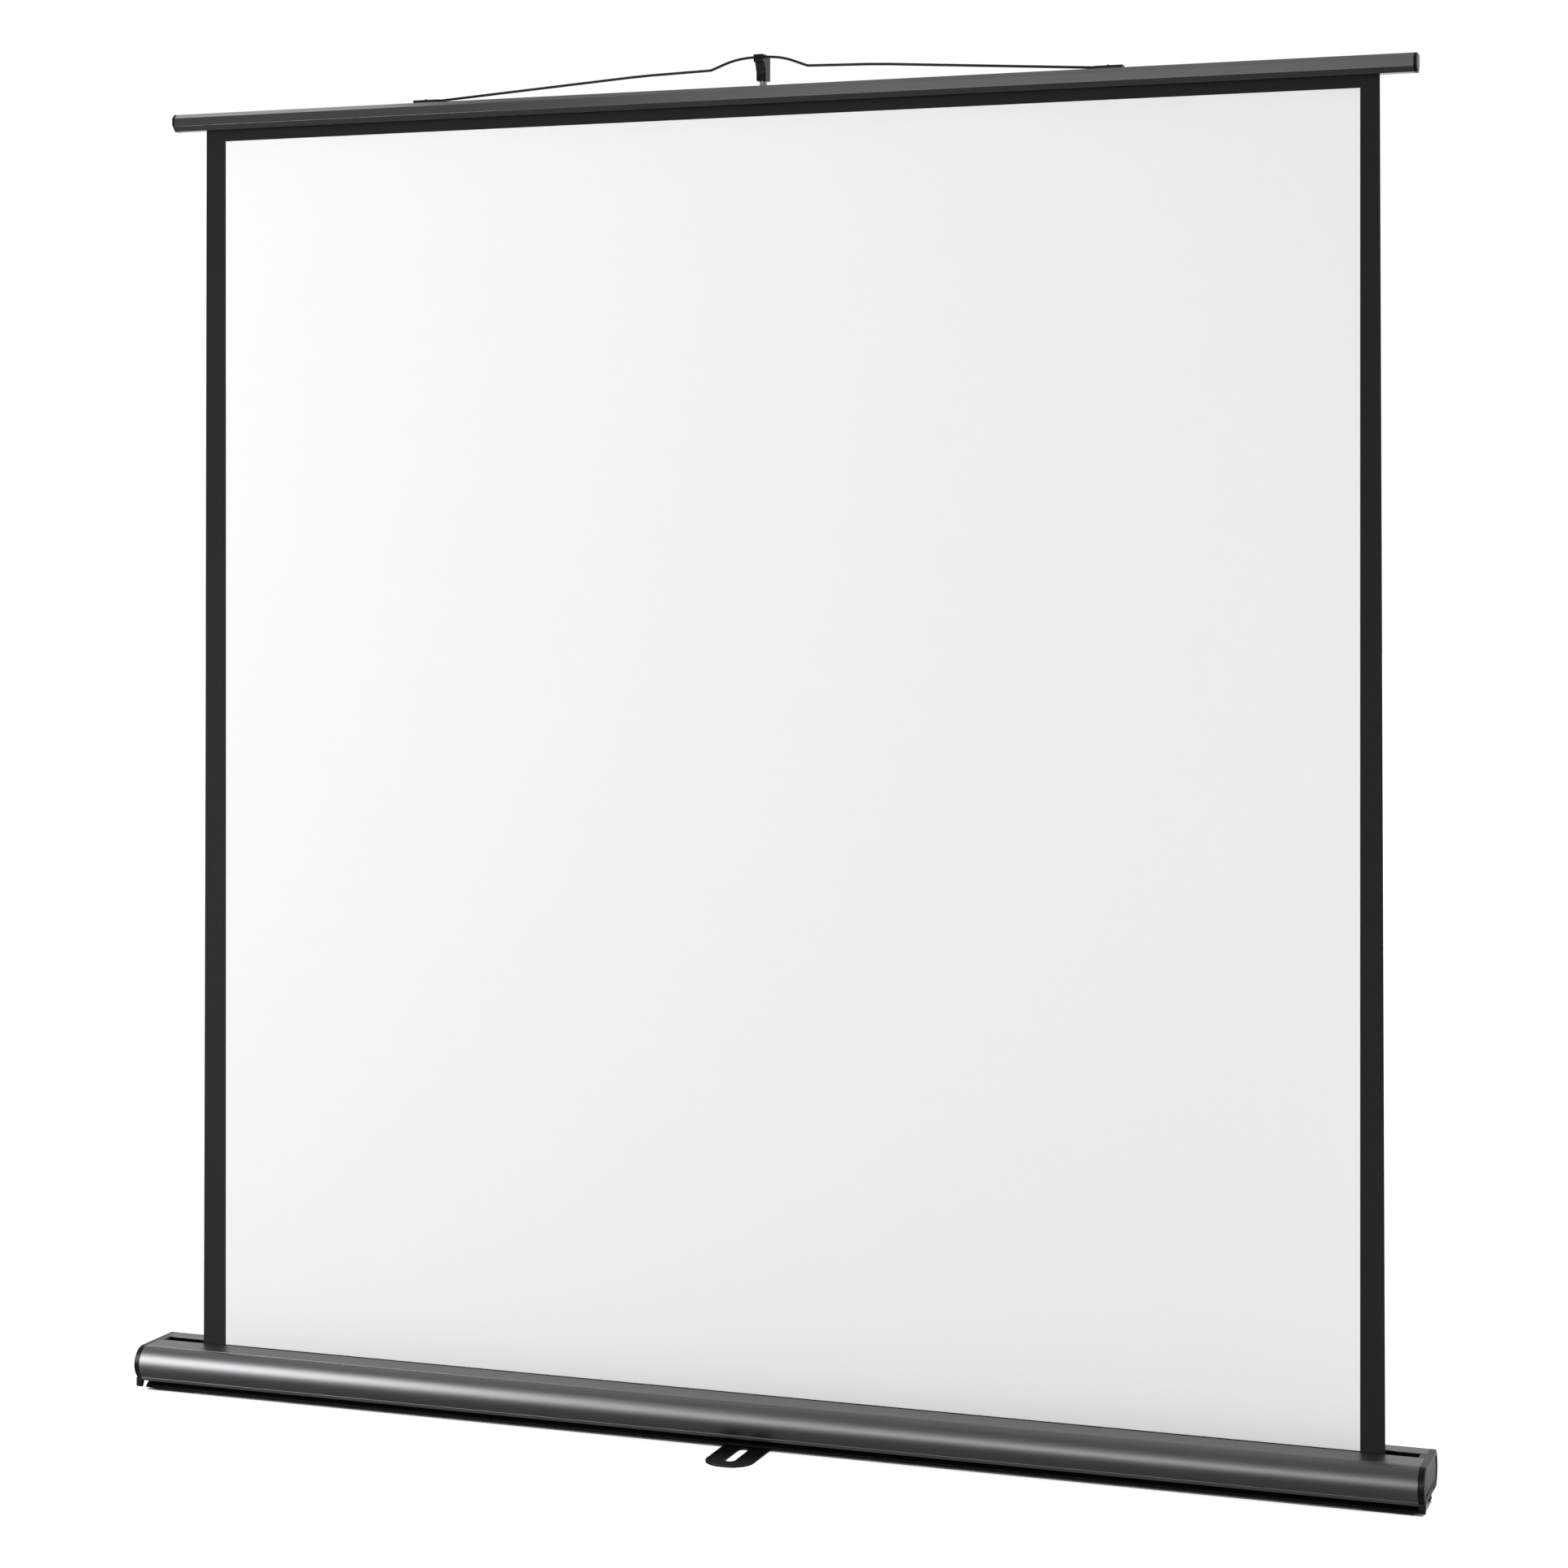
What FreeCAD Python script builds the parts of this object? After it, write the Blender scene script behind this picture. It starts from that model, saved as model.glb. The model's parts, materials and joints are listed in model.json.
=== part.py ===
import FreeCAD, Part
import math
import os
from FreeCAD import Vector

# A floor-standing pull-up projection screen. Millimetres, X along the screen, -Y towards the
# audience, Z up. The origin is on the floor, under the middle of the case.

# Fits and general clearances
fit = 0.05                  # radial clearance of a shaft in its hole
running_gap = 0.3           # gap between faces that pass each other
end_float = 1.0             # axial play at the ends of the roller

# Overall sizes that the other pieces follow
fabric_width = 1600.0
bar_top = 1735.0            # top of the bar when the screen is up
screen_offset = 9.0         # the fabric, bar, mast and foot sit this far right of the case's middle

# Case
case_beyond_fabric = 67.0   # half of what the case is longer than the fabric
case_length = fabric_width + 2 * case_beyond_fabric
case_top = 61.0
case_bottom = 16.6
case_wall = 1.6
top_front = -41.0           # where the flat top meets the round front
top_back = 40.0
front_bulge = -58.0         # furthest forward point of the front
back_bulge = 48.5
bulge_height = 35.5
toe_front = -52.0           # foot of the front panel
toe_back = 42.0
lip_height = 4.0            # upright lip along the foot of both panels
lip_foot = 0.8              # how far the lip turns in at its foot
lip_groove_width = 0.8      # shadow line above the front lip
lip_groove_depth = 0.6
slot_front = -3.0
slot_back = 17.0
edge_groove_width = 1.2     # shadow line between top and front
edge_groove_depth = 0.7
port_radius = 4.0           # screw ports inside the case
port_hole_radius = 1.75
port_places = [(-38.0, 51.0), (36.0, 51.0), (18.0, 21.4)]

# End caps
cap_thickness = 8.0
cap_bevel = 1.2
cap_toe_front = -50.0       # foot of the cap's round front
cap_lip_height = 3.4        # the cap's edge turns in below this height
cap_lip_foot = 1.7
cap_panel_margin = 6.0      # rim round the sunk panel of the outer face
cap_panel_depth = 1.0
cap_rib_height = 20.4       # height of the double rib above the floor
cap_rib_width = 1.4
cap_rib_pitch = 3.6
cap_boss_radius = 11.0
cap_boss_length = 12.0
cap_tongue_length = 7.0     # closes the slot beside each cap
cap_tab_front = -51.0       # small tab under the front corner
cap_tab_width = 8.0
cap_tab_bottom = 6.4
screw_head_radius = 3.5
screw_head_height = 2.2
screw_length = 14.0
screw_socket_radius = 1.3

# Base rail, its rubber pads and screws
rail_end_inset = 5.0        # from the end of the case
rail_length = case_length - 2 * rail_end_inset
rail_floor_gap = 2.6        # height of the pads
rail_half_width = 34.0
rail_neck_half_width = 26.0
rail_flare_height = 6.0     # top of the upright edge of the flare
rail_neck_height = 11.0     # where the flare meets the neck
rail_channel_half_width = 21.0
rail_web = 4.4              # thickness of the rail above its channel
pad_length = 60.0
pad_width = 8.0
pad_end_inset = 12.0
rail_screw_radius = 2.0
rail_screw_head_radius = 4.0
rail_screw_head_height = 2.0
rail_screw_end_inset = 80.0
rail_screw_span = rail_length / 2 - rail_screw_end_inset
rail_screw_inner_span = rail_screw_span / 3
rail_radii = [0, 2.0, 1.2, 0.6, 0.4, 1.0]   # corners from the neck down to the channel's roof

# Swivel foot
foot_width = 63.0
foot_half_length = 120.5
foot_thickness = 2.3
foot_corner = 28.0
foot_rim = 5.0
foot_pocket_depth = 0.7
foot_slot_width = 13.0
foot_slot_start = 39.5
foot_slot_end = 99.5
foot_hub_radius = 24.0
foot_bolt_radius = 4.0
foot_bolt_head_radius = 7.0
foot_bolt_recess = 0.3      # bolt head sits this far above the floor
foot_bolt_sink = 1.6        # depth of the pocket for the bolt's head
foot_bush_radius = 12.0

# Roller inside the case
roller_radius = 16.0
roller_wall = 1.0
roll_turns_thickness = 1.2  # turns of fabric left on the roller when the screen is up
roller_height = 37.0
plug_flange = 4.0
plug_depth = 20.0
shaft_radius = 4.0
shaft_square = 5.2
shaft_length = 300.0
anchor_radius = 10.0
anchor_length = 8.0
nose_radius = 7.0
nose_length = 25.0
spring_wire_radius = 1.25
spring_turns = 14
gudgeon_length = 16.0
bush_radius = 7.0

# Fabric
fabric_thickness = 0.5

# Top bar
bar_beyond_fabric = 42.5    # at each end
bar_length = fabric_width + 2 * bar_beyond_fabric
bar_height = 23.0
bar_bottom = bar_top - bar_height
bar_front = -15.0
bar_back = 8.0
bar_bevel = 5.0
bar_skirt = 8.5             # the front and back lean in below this height
bar_corner = 1.5
bar_lean_front = 8.0        # how far the front leans in at the bottom
bar_lean_back = 4.0
bar_wall = 1.5
bar_plug_thickness = 4.0
bar_plug_depth = 14.0
hem_slot_width = 1.2
hem_rod_radius = 2.0

# Hanger wire and its two clips on the bar
wire_radius = 1.5
wire_seat = 1.9             # wire axis above the bar inside a clip
wire_end = 480.0            # from the middle of the bar
wire_leave = 452.0
wire_kink = 66.0
wire_kink_rise = 25.6       # heights above the bar's top
wire_hump_rise = 40.7
wire_hump_drop = 2.6        # from the hump's middle to halfway to its kink
kink_radius = 12.0
wire_bend_share = 0.45      # share of each straight run that a bend takes up
wire_bar_y = -0.5
wire_wing = [(385.0, 7.2), (275.0, 14.8), (160.0, 22.8)]
clip_inner = 446.0
clip_outer = 482.0
clip_width = 13.0
clip_height = 3.9
clip_corner = 1.2
rivet_radius = 1.4
rivet_head_radius = 2.3
rivet_head_height = 0.7
rivet_offset = 4.4

# Mast
mast_y = 29.0
mast_rise = 26.5            # the thinnest tube ends this far above the bar, inside the hook head
mast_top = bar_top + mast_rise
tube_radii = [8.75, 7.5, 6.25, 5.0]
tube_wall = 1.0
tube_start = 20.0           # from the pivot to the foot of the first tube
tube_overlap = 60.0
knuckle_width = 12.0
knuckle_eye_radius = 8.0
socket_wall = 2.2
socket_depth = 16.0
socket_floor = 8.0
pin_radius = 3.0
pin_head_radius = 5.0
pin_head_height = 2.4
ear_thickness = 3.0
ear_width = 18.0
bracket_length = 64.0
bracket_depth = 21.0
bracket_base = 3.0
bracket_corner = 4.0
pivot_clearance = 6.0       # under the knuckle's eye
pivot_height = case_top + bracket_base + knuckle_eye_radius + pivot_clearance
bracket_screw_span = 25.0
bracket_screw_row = 4.5
bracket_screw_radius = 1.7
bracket_screw_head_radius = 3.4
bracket_screw_length = 7.0

# Clamp collars and thumb knobs on the mast
collar_wall = 3.2
collar_below = 18.0         # reach below the top of its tube
collar_lip = 4.0            # reach above the top of its tube
clamp_drop = 8.0            # clamp screw below the top of its tube
clamp_boss_radius = 5.5
clamp_boss_length = 6.0
clamp_screw_radius = 2.5
knob_radius = 8.0
knob_thickness = 8.0
knob_scallop_radius = 3.0
knob_scallops = 6
knob_gap = 0.5

# Hook head
head_width = 13.0
head_front = 9.5
head_back_wall = 8.0        # from the mast's axis to the back of the head
head_rise = 10.5            # heights above the bar's top
head_shoulder_rise = 21.5
head_lip_rise = 33.0
head_top_rise = 43.5
head_top = bar_top + head_top_rise
head_bottom = bar_top + head_rise
lip_bottom = bar_top + head_lip_rise
lip_thickness = 3.0
groove_width = 4.0
groove_floor_gap = 0.3
neck_front = 15.0
body_front = 20.5
neck_rise = 1.0             # the neck climbs this much from the lip's foot
body_shoulder = bar_top + head_shoulder_rise
head_radii = [1.5, 2.4, 2.0, 6.0, 2.0, 2.0, 2.5]    # corners from the lip's top round to the back


def box(x0, x1, y0, y1, z0, z1):
    return Part.makeBox(x1 - x0, y1 - y0, z1 - z0, Vector(x0, y0, z0))


def rod(base, axis, radius, length):
    return Part.makeCylinder(radius, length, Vector(*base), Vector(*axis))


def cone(base, axis, start_radius, end_radius, length):
    return Part.makeCone(start_radius, end_radius, length, Vector(*base), Vector(*axis))


def corner(before, point, after, radius):
    """Where the arc that rounds a corner starts, its middle and where it ends."""
    to_before = (before - point).normalize()
    to_after = (after - point).normalize()
    half_angle = to_before.getAngle(to_after) / 2
    reach = radius / math.tan(half_angle)
    inward = (to_before + to_after).normalize()
    middle = point + inward * (radius / math.sin(half_angle) - radius)
    return point + to_before * reach, middle, point + to_after * reach


def rounded_wire(points, radii, closed=True):
    """Straight runs with a tangent arc at each point that has a radius."""
    count = len(points)
    turns = []
    for i, point in enumerate(points):
        inside = closed or 0 < i < count - 1
        if inside and radii[i] > 0:
            turns.append(corner(points[i - 1], point, points[(i + 1) % count], radii[i]))
        else:
            turns.append((point, None, point))
    edges = []
    for i in range(count if closed else count - 1):
        leave = turns[i]
        arrive = turns[(i + 1) % count]
        if leave[1] is not None:
            edges.append(Part.Arc(*leave).toShape())
        edges.append(Part.LineSegment(leave[2], arrive[0]).toShape())
    return Part.Wire(edges)


def along_x(wire, x0, x1):
    """A closed outline in a plane across X, as a solid from x0 to x1."""
    face = Part.Face(wire)
    face.translate(Vector(x0 - face.CenterOfMass.x, 0, 0))
    return face.extrude(Vector(x1 - x0, 0, 0))


def side_outline(points, radii):
    return rounded_wire([Vector(0, y, z) for y, z in points], radii)


def save(name, shape):
    if len(shape.Solids) == 1:
        shape = shape.Solids[0]
    shape.exportStep("parts/" + name + ".step")


os.makedirs("parts", exist_ok=True)

# Places that several pieces share
case_end = case_length / 2
housing_end = case_end - cap_thickness
roll_radius = roller_radius + roll_turns_thickness
roller_y = -(fabric_thickness / 2 + running_gap + roll_radius)
mast_x = screen_offset
rail_end = rail_length / 2
rail_bottom = rail_floor_gap
rail_top = case_bottom


# Case housing: one aluminium extrusion with a slot along its top
def case_outline(front_foot, lip):
    """Outer section: flat top, round front and back, and a lip given as (inset, height) down to the floor."""
    top_f = Vector(0, top_front, case_top)
    top_b = Vector(0, top_back, case_top)
    front_lip = [Vector(0, front_foot + inset, z) for inset, z in lip]
    back_lip = [Vector(0, toe_back - inset, z) for inset, z in reversed(lip)]
    low_run = front_lip + back_lip
    edges = [Part.LineSegment(top_b, top_f).toShape()]
    edges.append(Part.Arc(top_f, Vector(0, front_bulge, bulge_height), front_lip[0]).toShape())
    edges += [Part.LineSegment(p, q).toShape() for p, q in zip(low_run, low_run[1:])]
    edges.append(Part.Arc(back_lip[-1], Vector(0, back_bulge, bulge_height), top_b).toShape())
    return Part.Wire(edges)


lip_top = case_bottom + lip_height
outline = case_outline(toe_front, [(0, lip_top), (0, case_bottom + lip_foot), (lip_foot, case_bottom)])
cap_lip_top = case_bottom + cap_lip_height
cap_section = case_outline(cap_toe_front, [(0, cap_lip_top), (cap_lip_foot, case_bottom)])
cavity = outline.makeOffset2D(-case_wall)
housing = along_x(outline, -housing_end, housing_end)
housing = housing.cut(along_x(cavity, -housing_end, housing_end))
for y, z in port_places:
    port = rod((-housing_end, y, z), (1, 0, 0), port_radius, 2 * housing_end)
    web_to_wall = box(-housing_end, housing_end, y - port_radius / 2, y + port_radius / 2,
                      z if z > bulge_height else case_bottom, case_top if z > bulge_height else z)
    skin = along_x(outline, -housing_end, housing_end)
    housing = housing.fuse(port.fuse(web_to_wall).common(skin))
for y, z in port_places:
    housing = housing.cut(rod((-housing_end, y, z), (1, 0, 0), port_hole_radius, 2 * housing_end))
housing = housing.cut(box(-housing_end, housing_end, slot_front, slot_back,
                          case_top - 3 * case_wall, case_top + case_wall))
groove_y = top_front + edge_groove_width
housing = housing.cut(box(-housing_end, housing_end, groove_y, groove_y + edge_groove_width,
                          case_top - edge_groove_depth, case_top + case_wall))
housing = housing.cut(box(-housing_end, housing_end, front_bulge, toe_front + lip_groove_depth,
                          lip_top, lip_top + lip_groove_width))
rail_screw_places = [x for span in (rail_screw_inner_span, rail_screw_span) for x in (-span, span)]
for x in rail_screw_places:
    housing = housing.cut(rod((x, 0, case_bottom - case_wall), (0, 0, 1), rail_screw_radius + fit,
                              3 * case_wall))
bracket_holes = [(mast_x + i * bracket_screw_span, mast_y + j * bracket_screw_row)
                 for i in (-1, 1) for j in (-1, 1)]
for x, y in bracket_holes:
    housing = housing.cut(rod((x, y, case_top - 3 * case_wall), (0, 0, 1), bracket_screw_radius + fit,
                              4 * case_wall))
save("case_housing", housing.removeSplitter())


# End caps: moulded, with a sunk panel, a double rib, a slot tongue and a roller boss
def end_cap(side):
    inner = side * housing_end
    outer = side * case_end
    low, high = min(inner, outer), max(inner, outer)
    cap = along_x(cap_section, low, high)
    rim = [e for e in cap.Edges if all(abs(v.X - outer) < 1e-6 for v in e.Vertexes)]
    cap = cap.makeChamfer(cap_bevel, rim)
    panel_out = outer - side * cap_panel_depth
    panel = along_x(cap_section.makeOffset2D(-cap_panel_margin), min(outer, panel_out), max(outer, panel_out))
    for k in (0, 1):
        rib_z = cap_rib_height + k * cap_rib_pitch
        panel = panel.cut(box(low - 1, high + 1, front_bulge, back_bulge, rib_z, rib_z + cap_rib_width))
    cap = cap.cut(panel)
    tab = side_outline([(cap_tab_front, cap_lip_top), (cap_tab_front, cap_tab_bottom + 2),
                        (cap_tab_front + cap_tab_width / 2, cap_tab_bottom),
                        (cap_tab_front + cap_tab_width, case_bottom),
                        (cap_tab_front + cap_tab_width, cap_lip_top)], [0, 1, 1.5, 0, 0])
    cap = cap.fuse(along_x(tab, low, high))
    tongue = sorted((inner, inner - side * cap_tongue_length))
    cap = cap.fuse(box(tongue[0], tongue[1], slot_front + fit, slot_back - fit,
                       case_top - 2 * case_wall, case_top))
    cap = cap.fuse(rod((inner, roller_y, roller_height), (-side, 0, 0), cap_boss_radius, cap_boss_length))
    for y, z in port_places:
        cap = cap.cut(rod((outer, y, z), (-side, 0, 0), screw_head_radius + fit,
                          cap_panel_depth + screw_head_height))
        cap = cap.cut(rod((outer, y, z), (-side, 0, 0), port_hole_radius, cap_thickness))
    return cap


shaft_seat = cap_boss_length + cap_thickness - 3
square = shaft_square / 2
left_cap = end_cap(-1)
left_cap = left_cap.cut(box(-housing_end + cap_boss_length - shaft_seat, -housing_end + cap_boss_length,
                            roller_y - square - fit, roller_y + square + fit,
                            roller_height - square - fit, roller_height + square + fit))
save("end_cap_left", left_cap.removeSplitter())
right_cap = end_cap(1)
right_cap = right_cap.cut(rod((housing_end - cap_boss_length, roller_y, roller_height), (1, 0, 0),
                              bush_radius + fit, cap_boss_length))
right_cap = right_cap.cut(rod((housing_end - cap_boss_length, roller_y, roller_height), (1, 0, 0),
                              shaft_radius + running_gap, shaft_seat))
save("end_cap_right", right_cap.removeSplitter())


# Screws that hold the end caps: three to a side
def cap_screw(side, y, z):
    head_out = side * (case_end - cap_panel_depth)
    head = rod((head_out, y, z), (-side, 0, 0), screw_head_radius, screw_head_height)
    shank = rod((head_out, y, z), (-side, 0, 0), port_hole_radius - fit, screw_head_height + screw_length)
    socket = rod((head_out, y, z), (-side, 0, 0), screw_socket_radius, screw_head_height / 2)
    return head.fuse(shank).cut(socket).removeSplitter()


save("end_cap_screws", Part.makeCompound([cap_screw(s, y, z) for s in (-1, 1) for y, z in port_places]))

# Base rail: flared extrusion under the case, with an open channel below
half = [(rail_neck_half_width, rail_top), (rail_neck_half_width, rail_neck_height),
        (rail_half_width, rail_flare_height), (rail_half_width, rail_bottom),
        (rail_channel_half_width, rail_bottom), (rail_channel_half_width, rail_top - rail_web)]
rail_points = half + [(-y, z) for y, z in reversed(half)]
rail = along_x(side_outline(rail_points, rail_radii + rail_radii[::-1]), -rail_end, rail_end)
rail = rail.cut(rod((mast_x, 0, rail_bottom), (0, 0, 1), foot_bolt_radius + fit, rail_top))
channel_top = rail_top - rail_web
for x in rail_screw_places:
    rail = rail.cut(rod((x, 0, rail_bottom), (0, 0, 1), rail_screw_radius + fit, rail_top))
save("base_rail", rail.removeSplitter())


def rail_screw(x):
    head = rod((x, 0, channel_top - rail_screw_head_height), (0, 0, 1), rail_screw_head_radius,
               rail_screw_head_height)
    shank_length = rail_web + 2 * case_wall
    return head.fuse(rod((x, 0, channel_top), (0, 0, 1), rail_screw_radius, shank_length)).removeSplitter()


save("rail_screws", Part.makeCompound([rail_screw(x) for x in rail_screw_places]))


# Rubber pads under the ends of the rail, which the screen stands on
def rail_pad(side, row):
    middle_y = row * (rail_half_width + rail_channel_half_width) / 2
    outer = side * (rail_end - pad_end_inset)
    low, high = sorted((outer, outer - side * pad_length))
    return box(low, high, middle_y - pad_width / 2, middle_y + pad_width / 2, 0, rail_bottom)


save("rail_pads", Part.makeCompound([rail_pad(s, r) for s in (-1, 1) for r in (-1, 1)]))


# Swivel foot: pressed steel strip with a rim, two grip slots and a pivot hub
def stadium(x, y0, y1, width, radius, z0, z1):
    points = [Vector(x - width / 2, y0, z0), Vector(x + width / 2, y0, z0),
              Vector(x + width / 2, y1, z0), Vector(x - width / 2, y1, z0)]
    return Part.Face(rounded_wire(points, [radius] * 4)).extrude(Vector(0, 0, z1 - z0))


foot = stadium(mast_x, -foot_half_length, foot_half_length, foot_width, foot_corner, 0, foot_thickness)
pocket = stadium(mast_x, -foot_half_length + foot_rim, foot_half_length - foot_rim, foot_width - 2 * foot_rim,
                 foot_corner - foot_rim, foot_thickness - foot_pocket_depth, 2 * foot_thickness)
slot_rim = foot_slot_width / 2 + foot_rim
pocket = pocket.cut(rod((mast_x, 0, 0), (0, 0, 1), foot_hub_radius, 2 * foot_thickness))
slots = []
for side in (-1, 1):
    y0, y1 = sorted((side * foot_slot_start, side * foot_slot_end))
    pocket = pocket.cut(stadium(mast_x, y0 - foot_rim, y1 + foot_rim, 2 * slot_rim, slot_rim - 0.2,
                                0, 2 * foot_thickness))
    slots.append(stadium(mast_x, y0, y1, foot_slot_width, foot_slot_width / 2 - 0.2, -1, 2 * foot_thickness))
foot = foot.cut(pocket)
for slot in slots:
    foot = foot.cut(slot)
foot = foot.cut(rod((mast_x, 0, -1), (0, 0, 1), foot_bolt_radius + fit, 2 * foot_thickness))
foot = foot.cut(rod((mast_x, 0, -1), (0, 0, 1), foot_bolt_head_radius + running_gap, 1 + foot_bolt_sink))
save("swivel_foot", foot.removeSplitter())

bolt_head_height = foot_bolt_sink - foot_bolt_recess - fit
foot_bolt = rod((mast_x, 0, foot_bolt_recess), (0, 0, 1), foot_bolt_head_radius, bolt_head_height)
foot_bolt = foot_bolt.fuse(rod((mast_x, 0, foot_bolt_recess), (0, 0, 1), foot_bolt_radius,
                               rail_top - foot_bolt_recess))
save("foot_pivot_bolt", foot_bolt.removeSplitter())
bush_bottom = foot_thickness + fit
foot_bush = rod((mast_x, 0, bush_bottom), (0, 0, 1), foot_bush_radius, channel_top - bush_bottom)
foot_bush = foot_bush.cut(rod((mast_x, 0, 0), (0, 0, 1), foot_bolt_radius + fit, rail_top))
save("foot_bush", foot_bush)

# Spring roller: steel tube with a plug at each end
tube_end = housing_end - cap_boss_length - end_float - plug_flange


def roller_rod(x, radius, length):
    return rod((x, roller_y, roller_height), (1, 0, 0), radius, length)


roller = roller_rod(-tube_end, roller_radius, 2 * tube_end)
save("roller_tube", roller.cut(roller_rod(-tube_end, roller_radius - roller_wall, 2 * tube_end)))
plug_radius = roller_radius - roller_wall - fit
spring_plug = roller_rod(-tube_end - plug_flange, roller_radius, plug_flange)
spring_plug = spring_plug.fuse(roller_rod(-tube_end, plug_radius, plug_depth))
spring_plug = spring_plug.fuse(roller_rod(-tube_end + plug_depth, nose_radius, nose_length))
spring_plug = spring_plug.cut(roller_rod(-case_end, shaft_radius + fit, case_end))
save("spring_plug", spring_plug.removeSplitter())
idler_plug = roller_rod(tube_end, roller_radius, plug_flange)
idler_plug = idler_plug.fuse(roller_rod(tube_end - plug_depth, plug_radius, plug_depth))
idler_plug = idler_plug.fuse(roller_rod(tube_end, shaft_radius, plug_flange + gudgeon_length))
save("idler_plug", idler_plug.removeSplitter())
bush = roller_rod(housing_end - cap_boss_length, bush_radius, cap_boss_length)
save("gudgeon_bush", bush.cut(roller_rod(0, shaft_radius + fit, case_end)))

# Fixed shaft that the spring pulls against, keyed into the left end cap
shaft_end = -housing_end + cap_boss_length
shaft = roller_rod(shaft_end, shaft_radius, shaft_length)
shaft = shaft.fuse(box(shaft_end - shaft_seat, shaft_end, roller_y - square, roller_y + square,
                       roller_height - square, roller_height + square))
shaft = shaft.fuse(roller_rod(shaft_end + shaft_length - anchor_length, anchor_radius, anchor_length))
save("spring_shaft", shaft.removeSplitter())


# Torsion spring round the shaft: a helix of biarcs, each a quarter turn
def biarc(p, p_tangent, q, q_tangent):
    """Two tangent arcs from p to q."""
    chord = q - p
    tangents = p_tangent + q_tangent
    spread = 2 * (1 - p_tangent.dot(q_tangent))
    along = chord.dot(tangents)
    reach = (-along + math.sqrt(along * along + spread * chord.dot(chord))) / spread
    p_corner = p + p_tangent * reach
    q_corner = q - q_tangent * reach
    joint = (p_corner + q_corner) * 0.5
    arcs = []
    for start, apex, end in ((p, p_corner, joint), (joint, q_corner, q)):
        middle = (start + end) * 0.5
        cosine = (middle - start).Length / reach
        arcs.append(Part.Arc(start, apex + (middle - apex) * (1 / (1 + cosine)), end).toShape())
    return arcs


spring_start = -tube_end + plug_depth + 2 * spring_wire_radius
spring_stop = shaft_end + shaft_length - anchor_length - 2 * spring_wire_radius
spring_radius = nose_radius + fit + spring_wire_radius
spring_pitch = (spring_stop - spring_start) / spring_turns


def spring_point(quarter):
    angle = quarter * math.pi / 2
    return Vector(spring_start + spring_pitch * quarter / 4,
                  roller_y + spring_radius * math.cos(angle), roller_height + spring_radius * math.sin(angle))


def spring_tangent(quarter):
    angle = quarter * math.pi / 2
    turn = 2 * math.pi * spring_radius
    return Vector(spring_pitch, -turn * math.sin(angle), turn * math.cos(angle)).normalize()


spring_edges = []
for quarter in range(4 * spring_turns):
    spring_edges += biarc(spring_point(quarter), spring_tangent(quarter),
                          spring_point(quarter + 1), spring_tangent(quarter + 1))
spring_path = Part.Wire(spring_edges)
spring_section = Part.Wire(Part.makeCircle(spring_wire_radius, spring_point(0), spring_tangent(0)))
spring = spring_path.makePipeShell([spring_section], True, False)
save("roller_spring", spring)
print("roller spring: gap between turns", round(spring_pitch - 2 * spring_wire_radius, 2), "volume share",
      round(spring.Volume / (spring_path.Length * math.pi * spring_wire_radius ** 2), 4))

# Fabric: the turns left on the roller, and the sheet that stands up out of the slot
fabric_left = screen_offset - fabric_width / 2
turns = roller_rod(fabric_left, roll_radius, fabric_width)
save("fabric_roll", turns.cut(roller_rod(fabric_left, roller_radius + fit, fabric_width)))
hem_floor = bar_bottom + bar_wall
save("projection_fabric", box(fabric_left, fabric_left + fabric_width, -fabric_thickness / 2,
                              fabric_thickness / 2, roller_height, hem_floor - 2 * fit))


# Top bar: hollow extrusion with a slot below for the fabric's hem
def bar_outline():
    points = [(bar_back - bar_corner, bar_top), (bar_front + bar_bevel, bar_top),
              (bar_front, bar_top - bar_bevel), (bar_front, bar_bottom + bar_skirt),
              (bar_front + bar_lean_front, bar_bottom), (bar_back - bar_lean_back, bar_bottom),
              (bar_back, bar_bottom + bar_skirt), (bar_back, bar_top - bar_bevel)]
    return side_outline(points, [bar_corner] * len(points))


bar_section = bar_outline()
bar_hollow = bar_section.makeOffset2D(-bar_wall)
bar_half = bar_length / 2 - bar_plug_thickness
bar_x0, bar_x1 = screen_offset - bar_half, screen_offset + bar_half
bar = along_x(bar_section, bar_x0, bar_x1).cut(along_x(bar_hollow, bar_x0, bar_x1))
bar = bar.cut(box(bar_x0, bar_x1, -hem_slot_width / 2, hem_slot_width / 2, bar_bottom - 1, hem_floor + fit))
rivet_places = [(screen_offset + s * (clip_inner + clip_outer) / 2, wire_bar_y + r * rivet_offset)
                for s in (-1, 1) for r in (-1, 1)]
for x, y in rivet_places:
    bar = bar.cut(rod((x, y, bar_top - 2 * bar_wall), (0, 0, 1), rivet_radius + fit, 3 * bar_wall))
save("top_bar", bar.removeSplitter())


def bar_plug(side):
    outer = screen_offset + side * bar_length / 2
    inner = outer - side * bar_plug_thickness
    plate = along_x(bar_section, min(outer, inner), max(outer, inner))
    rim = [e for e in plate.Edges if all(abs(v.X - outer) < 1e-6 for v in e.Vertexes)]
    plate = plate.makeChamfer(bar_corner / 2, rim)
    spigot_end = inner - side * bar_plug_depth
    spigot_section = bar_section.makeOffset2D(-bar_wall - fit)
    spigot = along_x(spigot_section, min(inner, spigot_end), max(inner, spigot_end))
    return plate.fuse(spigot).removeSplitter()


save("bar_plug_left", bar_plug(-1))
save("bar_plug_right", bar_plug(1))
hem_z = hem_floor + fit + hem_rod_radius
save("hem_rod", rod((fabric_left, 0, hem_z), (1, 0, 0), hem_rod_radius, fabric_width))

# Hanger wire: one springy wire from clip to clip, with a hump that hangs in the hook
wire_hook_y = head_front + lip_thickness + groove_width / 2


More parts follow.
